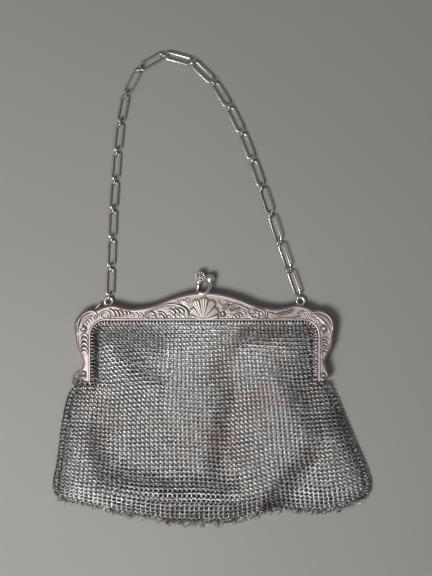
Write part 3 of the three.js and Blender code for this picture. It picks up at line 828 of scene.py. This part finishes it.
# %% Ovals, bosses, pebbles and shell
OVALS = [
    # x, y, half length across and up, half width of the ridge, height
    (-54.5, 2.9, 2.5, 2.1, 0.5, 0.5), (-32, 2, 1, 1, 0.4, 0.45), (-9.7, 10.8, 1.1, 1.1, 0.35, 0.3),
    (27.2, 2.5, 2.2, 1.2, 0.5, 0.45),
]
BOSSES = [
    # x, y, radius, height, radius of the cut round it
    (-66.3, -4.3, 1.15, 0.8, 1.75), (65.9, -4.1, 1.15, 0.8, 1.9), (-66.3, -28.9, 0.95, 0.7, 1.4),
    (65.5, -30.1, 0.95, 0.7, 1.4), (10.3, 3.8, 0.9, 0.55, 1.4),
]
PEBBLE_FIELDS = [
    # left, low, right, high
    (-40.5, 1.8, -33.5, 4.6), (50.8, 1.6, 58.8, 4.8), (58.8, -0.6, 63.4, 2.2), (-17, 9.8, -8, 11.6),
    (13, 9.6, 20, 10.4), (-20, 1.8, -9, 7.5), (9, 1.8, 24, 7), (24, 1.8, 40, 5), (-50, 1.8, -42, 6),
]
PEBBLE_RADIUS = 0.42
PEBBLE_HEIGHT = 0.17
PEBBLE_STEP = 1.0
SHELL_FOOT = (-0.7, 0.6)
SHELL_HEIGHT = 0.6
FLUTE_SHARE = 0.16
LOBES = [
    # middle angle, half angle, reach, flutes
    (88, 13.5, 12.4, 3), (114, 12, 11.9, 3), (141, 14, 9, 3), (62, 12.5, 12.1, 3), (35, 14, 10, 3),
    (164, 8.5, 7, 1), (12, 8.5, 8.8, 1),
]
scatter = np.random.default_rng(11)
pebbles = np.array([
    (x, y)
    for left, low, right, high in PEBBLE_FIELDS
    for row, y in enumerate(np.arange(low, high, PEBBLE_STEP))
    for x in np.arange(left + row % 2 * PEBBLE_STEP / 2, right, PEBBLE_STEP)
])
pebbles += scatter.normal(0, 0.15, pebbles.shape)


def rounded(away):
    """A round back: 1 in the middle, 0 where away reaches 1."""
    return np.sqrt(np.clip(1 - away**2, 0, 1))


def shell_height(spots):
    """Fluted lobes that fan out from the shell's foot, with narrow gaps between them."""
    rel = spots - np.array(SHELL_FOOT)
    reach = np.hypot(rel[:, 0], rel[:, 1])
    angle = np.degrees(np.arctan2(rel[:, 1], rel[:, 0]))
    height = np.zeros(len(spots))
    for middle, half, far, flutes in LOBES:
        off = np.clip((angle - middle) / half, -1, 1)
        rim = far * (1 - 0.08 * off**2)
        tip = rounded(np.clip((reach / rim - 0.86) / 0.14, 0, 1))
        swell = 0.4 + 0.6 * np.clip(reach / far, 0, 1)
        flute = 1 - FLUTE_SHARE * (1 + np.cos(np.pi * flutes * (off + 1)))
        height = np.maximum(height, SHELL_HEIGHT * tip * swell * flute * (1 - off**8))
    return height


print("pebbles:", len(pebbles), "lobes:", len(LOBES))

# %% Height of the relief
def stroke_share(spots, course, half_width):
    """Share of a stroke's height at each spot: it tapers towards both ends of its course."""
    share = np.zeros(len(spots))
    near = np.all((spots > course.min(0) - half_width) & (spots < course.max(0) + half_width), axis=1)
    local = spots[near]
    best = np.zeros(len(local))
    pieces = len(course) - 1
    for k in range(pieces):
        ahead = course[k + 1] - course[k]
        t = np.clip(((local - course[k]) @ ahead) / (ahead @ ahead), 0, 1)
        width = half_width * np.interp((k + t) / pieces, [0, 0.5, 1], [0.55, 1, 0.55])
        away = np.linalg.norm(local - course[k] - t[:, None] * ahead, axis=1)
        best = np.maximum(best, rounded(away / width))
    share[near] = best
    return share


def relief_height(spots):
    """The highest ridge less the deepest cut at each spot."""
    ridge = shell_height(spots)
    cut = np.zeros(len(spots))
    for course, half_width, rise in single_strokes + motif_strokes:
        height = rise * stroke_share(spots, course, half_width)
        ridge = np.maximum(ridge, height)
        cut = np.maximum(cut, -height)
    for x, y, half_x, half_y, half_width, rise in OVALS:
        away = np.hypot((spots[:, 0] - x) / half_x, (spots[:, 1] - y) / half_y) - 1
        ridge = np.maximum(ridge, rise * rounded(away * min(half_x, half_y) / half_width))
    for x, y, radius, rise, groove in BOSSES:
        away = np.hypot(spots[:, 0] - x, spots[:, 1] - y)
        ridge = np.maximum(ridge, rise * rounded(away / radius))
        cut = np.maximum(cut, 0.35 * rounded((away - groove) / 0.4))
    for x, y in pebbles:
        away = np.hypot(spots[:, 0] - x, spots[:, 1] - y)
        ridge = np.maximum(ridge, PEBBLE_HEIGHT * rounded(away / PEBBLE_RADIUS))
    return ridge - cut


# %% Raised and plain faces
FIELD_DROP = 0.2
RIM = 1.1
RIM_ROUND = 1.7
BEAD = 0.6


def face_height(spots, outer_away, inner_away):
    """Height of the front face: a smooth rim outside, a bead inside, the relief between."""
    rim_width = np.minimum(RIM, 0.16 * (outer_away + inner_away))
    rim = -1.1 * (1 - np.clip(outer_away / RIM_ROUND, 0, 1)) ** 2
    drop = -FIELD_DROP * eased(rim_width * 0.5, rim_width * 2.2, outer_away)
    bead = -0.34 + 0.44 * rounded((inner_away - BEAD) / BEAD)
    ground = np.where(inner_away < 2 * BEAD, bead, rim + drop)
    inside = eased(0.5 * rim_width, 0.9 * rim_width, outer_away) * eased(1.2 * BEAD, 2.0 * BEAD, inner_away)
    return ground + relief_height(spots) * inside


def plain_height(spots, outer_away, inner_away):
    """The back half is plain, with rounded edges."""
    edge = np.minimum(outer_away, inner_away)
    return -0.7 * (1 - np.clip(edge / 0.9, 0, 1)) ** 2


def hollow_share(surface):
    """How far each place lies below its surroundings, from 0 on a ridge to 1 in a hollow."""
    around = surface.copy()
    for _ in range(14):
        beside = around[:-2, 1:-1] + around[2:, 1:-1] + around[1:-1, :-2] + around[1:-1, 2:]
        around[1:-1, 1:-1] = (around[1:-1, 1:-1] + beside) / 5
    return np.clip(0.3 + (around - surface) * 2.9, 0, 1)


def frame_half(name, along, across, level, facing, heights, wall_z):
    shaping = bmesh.new()
    bmesh.ops.create_grid(shaping, x_segments=along, y_segments=across, size=0.5)
    u, v = np.array([vert.co[:2] for vert in shaping.verts]).T + 0.5
    spots, outer, inner = on_band(u, v)
    raised = heights(spots, np.linalg.norm(spots - outer, axis=1), np.linalg.norm(spots - inner, axis=1))
    order = np.lexsort((u.round(6), v.round(6)))
    hollow = np.zeros_like(raised)
    hollow[order] = hollow_share(raised[order].reshape(across + 1, along + 1)).ravel()
    for vert, place in zip(shaping.verts, placed(np.column_stack([spots, level + facing * raised]))):
        vert.co = place
    rims = [edge for edge in shaping.edges if edge.is_boundary]
    walls = bmesh.ops.extrude_edge_only(shaping, edges=rims)["geom"]
    for vert in (g for g in walls if isinstance(g, bmesh.types.BMVert)):
        vert.co.z = wall_z * MM
    bmesh.ops.contextual_create(shaping, geom=[g for g in walls if isinstance(g, bmesh.types.BMEdge)])
    bmesh.ops.recalc_face_normals(shaping, faces=shaping.faces[:])
    mesh = bpy.data.meshes.new(name)
    shaping.to_mesh(mesh)
    shaping.free()
    tones = np.full(len(mesh.vertices), 0.3)
    tones[: len(hollow)] = hollow
    carry(mesh, "hollow", tones)
    return mesh


front_mesh = frame_half("frame_front_relief", *FRONT_GRID, FACE_Z, 1, face_height, FRONT_Z)
finished_piece("frame_front_relief", front_mesh, frame_finish, ["frame_front"])
back_mesh = frame_half("frame_back_plain", *BACK_GRID, 0.0, -1, plain_height, HALF_THICK)
finished_piece("frame_back_plain", back_mesh, frame_finish, ["frame_back"])

# %% [markdown]
# Eyes
#
# Two eyes of thick wire are soldered to the top of the back half. The chain's end rings hang in them. A
# small leaf tip stands out of the edge beside the left one.

# %% Bent wire and ball
def bent_wire(points, radius, sides=10):
    """A round wire along a curve: a circle drawn out from point to point and closed at both ends."""
    course = smooth_run(np.array(points, float), np.linspace(0, len(points) - 1, 6 * len(points)))
    ahead = np.gradient(course, axis=0)
    wire = bmesh.new()
    ring = bmesh.ops.create_circle(wire, segments=sides, radius=radius, cap_ends=True)["verts"]
    turn = Vector(ahead[0]).to_track_quat("Z", "Y").to_matrix()
    bmesh.ops.rotate(wire, verts=ring, cent=(0, 0, 0), matrix=turn)
    bmesh.ops.translate(wire, verts=ring, vec=course[0])
    rim = wire.edges[:]
    for k in range(1, len(course)):
        drawn = bmesh.ops.extrude_edge_only(wire, edges=rim)["geom"]
        ring = [g for g in drawn if isinstance(g, bmesh.types.BMVert)]
        rim = [g for g in drawn if isinstance(g, bmesh.types.BMEdge)]
        swing = Vector(ahead[k - 1]).rotation_difference(Vector(ahead[k])).to_matrix()
        bmesh.ops.rotate(wire, verts=ring, cent=course[k - 1], matrix=swing)
        bmesh.ops.translate(wire, verts=ring, vec=course[k] - course[k - 1])
    bmesh.ops.contextual_create(wire, geom=rim)
    bmesh.ops.recalc_face_normals(wire, faces=wire.faces[:])
    return wire


def ball(radius, place, around=24, rings=16):
    shape = bmesh.new()
    bmesh.ops.create_uvsphere(shape, u_segments=around, v_segments=rings, radius=radius)
    bmesh.ops.translate(shape, verts=shape.verts[:], vec=place)
    return shape


# %% Eyes for the chain
EYE_X = 53.0
EYE_Y = 10.5
EYE_Z = 1.98
EYE_RADIUS = 2.1
EYE_WIRE = 0.78
LEAF_TIP = [(-60.6, 6.2, 2.4), (-59, 7.6, 2.8), (-57.4, 9.2, 2.8)]
LEAF_WIRE = 0.55


def joined(name, shapes, attribute):
    """One mesh of several bmesh shapes, each with its own number for the finish."""
    whole = bmesh.new()
    layer = whole.verts.layers.float.new(attribute)
    for shape, value in shapes:
        part = bpy.data.meshes.new("part")
        shape.to_mesh(part)
        shape.free()
        before = len(whole.verts)
        whole.from_mesh(part)
        bpy.data.meshes.remove(part)
        whole.verts.ensure_lookup_table()
        for vert in whole.verts[before:]:
            vert[layer] = value
    mesh = bpy.data.meshes.new(name)
    whole.to_mesh(mesh)
    whole.free()
    return mesh


def on_ruler(shape, place=(0, 0, 0)):
    """Moves a shape drawn in millimetres to its place on the ruler."""
    move = Matrix.Translation(placed(place)) @ Matrix.Scale(MM, 4)
    bmesh.ops.transform(shape, matrix=move, verts=shape.verts[:])
    return shape


eyes = [
    (on_ruler(wire_ring(EYE_RADIUS, EYE_WIRE, 28, 10), (side * EYE_X, EYE_Y, EYE_Z)), 0.05)
    for side in (-1, 1)
]
eyes.append((on_ruler(bent_wire(LEAF_TIP, LEAF_WIRE)), 0.05))
eye_mesh = joined("chain_eyes", eyes, "hollow")
finished_piece("chain_eyes", eye_mesh, clasp_finish, ["frame_back"])

# %% [markdown]
# Clasp
#
# The snap clasp has two knobs that pass each other. The front one is a plain polished ball on a bent
# stem. The back one is a small smooth berry under a cap of grains, which a silversmith makes of tiny
# balls soldered side by side.

# %% Plain knob and its stem
STEM_WIRE = 1.1
BALL_RADIUS = 2.65
FRONT_STEM = [(-3, 15, 7.3), (-0.4, 14.6, 7.6), (1.7, 15.9, 7.2), (2.8, 18.4, 5.8), (3, 21.4, 4)]
BALL_PLACE = (2.95, 22.9, 3.8)
front_clasp = [
    (on_ruler(bent_wire(FRONT_STEM, STEM_WIRE)), 0.1),
    (on_ruler(ball(BALL_RADIUS, BALL_PLACE)), 0.15),
]
ball_mesh = joined("clasp_ball", front_clasp, "hollow")
finished_piece("clasp_ball", ball_mesh, clasp_finish, ["clasp_knob_front"])

# %% Grained knob
BACK_STEM = [(-3.9, 13.6, 1.8), (-3.9, 16.4, 1.8), (-3.5, 18.6, 2.6), (-2.9, 21.4, 3.6)]
CAP_MIDDLE = np.array([-2.5, 24.2, 3.8])
CAP_RADIUS = 2.55
BERRY_RADIUS = 1.85
BERRY_PLACE = (-3.2, 21.3, 4.2)
CAP_EDGE_Y = 21.8
GRAIN_RADIUS = 0.52
GRAINS = 50
grain_turn = np.arange(GRAINS) * math.pi * (3 - math.sqrt(5))
grain_rise = 1 - 2 * (np.arange(GRAINS) + 0.5) / GRAINS
grain_round = np.sqrt(1 - grain_rise**2)
grain_ways = np.column_stack([grain_round * np.cos(grain_turn), grain_rise, grain_round * np.sin(grain_turn)])
grain_places = [place for place in CAP_MIDDLE + CAP_RADIUS * grain_ways if place[1] > CAP_EDGE_Y]
back_clasp = [
    (on_ruler(bent_wire(BACK_STEM, STEM_WIRE)), 0.1),
    (on_ruler(ball(BERRY_RADIUS, BERRY_PLACE)), 0.0),
    (on_ruler(ball(CAP_RADIUS - 0.1, CAP_MIDDLE)), 0.85),
]
back_clasp += [(on_ruler(ball(GRAIN_RADIUS, place, 6, 5)), 0.0) for place in grain_places]
grained_mesh = joined("clasp_grained", back_clasp, "hollow")
finished_piece("clasp_grained", grained_mesh, clasp_finish, ["clasp_knob_back"])

# %% [markdown]
# Chain
#
# A long link is a wire bent round at both ends. It is spun as a ring and drawn apart, which leaves
# straight sides between two half turns. The links and rings take their places from the solids: the
# longest, middle and thinnest directions of each solid give its turn.

# %% Long link and its copies
LINK_LENGTH = 15.3
LINK_BEND = 1.9
LINK_WIRE = 0.52
LINK_STEPS = 24
JUMP_RADIUS = 2.0
JUMP_WIRE = 0.47


def long_link():
    straight = LINK_LENGTH - 2 * (LINK_BEND + LINK_WIRE)
    link = wire_ring(LINK_BEND, LINK_WIRE, LINK_STEPS, 10)
    half_step = Matrix.Rotation(math.pi / LINK_STEPS, 3, "Z")
    bmesh.ops.rotate(link, verts=link.verts[:], cent=(0, 0, 0), matrix=half_step)
    right = [vert for vert in link.verts if vert.co.x > 0]
    left = [vert for vert in link.verts if vert.co.x < 0]
    bmesh.ops.translate(link, verts=right, vec=(straight / 2, 0, 0))
    bmesh.ops.translate(link, verts=left, vec=(-straight / 2, 0, 0))
    return link


def jump_ring():
    return wire_ring(JUMP_RADIUS, JUMP_WIRE, 22, 8)


def turn_of(node):
    """Middle of a solid and the turn to its longest, middle and thinnest directions."""
    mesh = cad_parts[node].data
    corners = np.zeros(3 * len(mesh.vertices))
    mesh.vertices.foreach_get("co", corners)
    corners = np.unique(corners.reshape(-1, 3).round(7), axis=0)
    _, _, ways = np.linalg.svd(corners - corners.mean(0))
    if np.linalg.det(ways) < 0:
        ways[2] = -ways[2]
    return Matrix.Translation(corners.mean(0)) @ Matrix(ways.T.tolist()).to_4x4()


def strung(name, make, kind):
    nodes = [node for node in sorted(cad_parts) if node.startswith(kind)]
    shapes = []
    for node in nodes:
        shape = make()
        bmesh.ops.transform(shape, matrix=turn_of(node) @ Matrix.Scale(MM, 4), verts=shape.verts[:])
        shapes.append((shape, chance.uniform(0.15, 0.5)))
    finished_piece(name, joined(name, shapes, "tone"), chain_finish, nodes)


strung("chain_links", long_link, "chain_link")
strung("chain_rings", jump_ring, "chain_ring")

# %% [markdown]
# What stays of the solids
#
# The two hinge pins hide in the feet of the arms. They keep their solids and take the frame's finish.

# %% Hinge pins and finish
for node in ("hinge_pin_left", "hinge_pin_right"):
    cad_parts[node].data.materials.clear()
    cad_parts[node].data.materials.append(frame_finish)
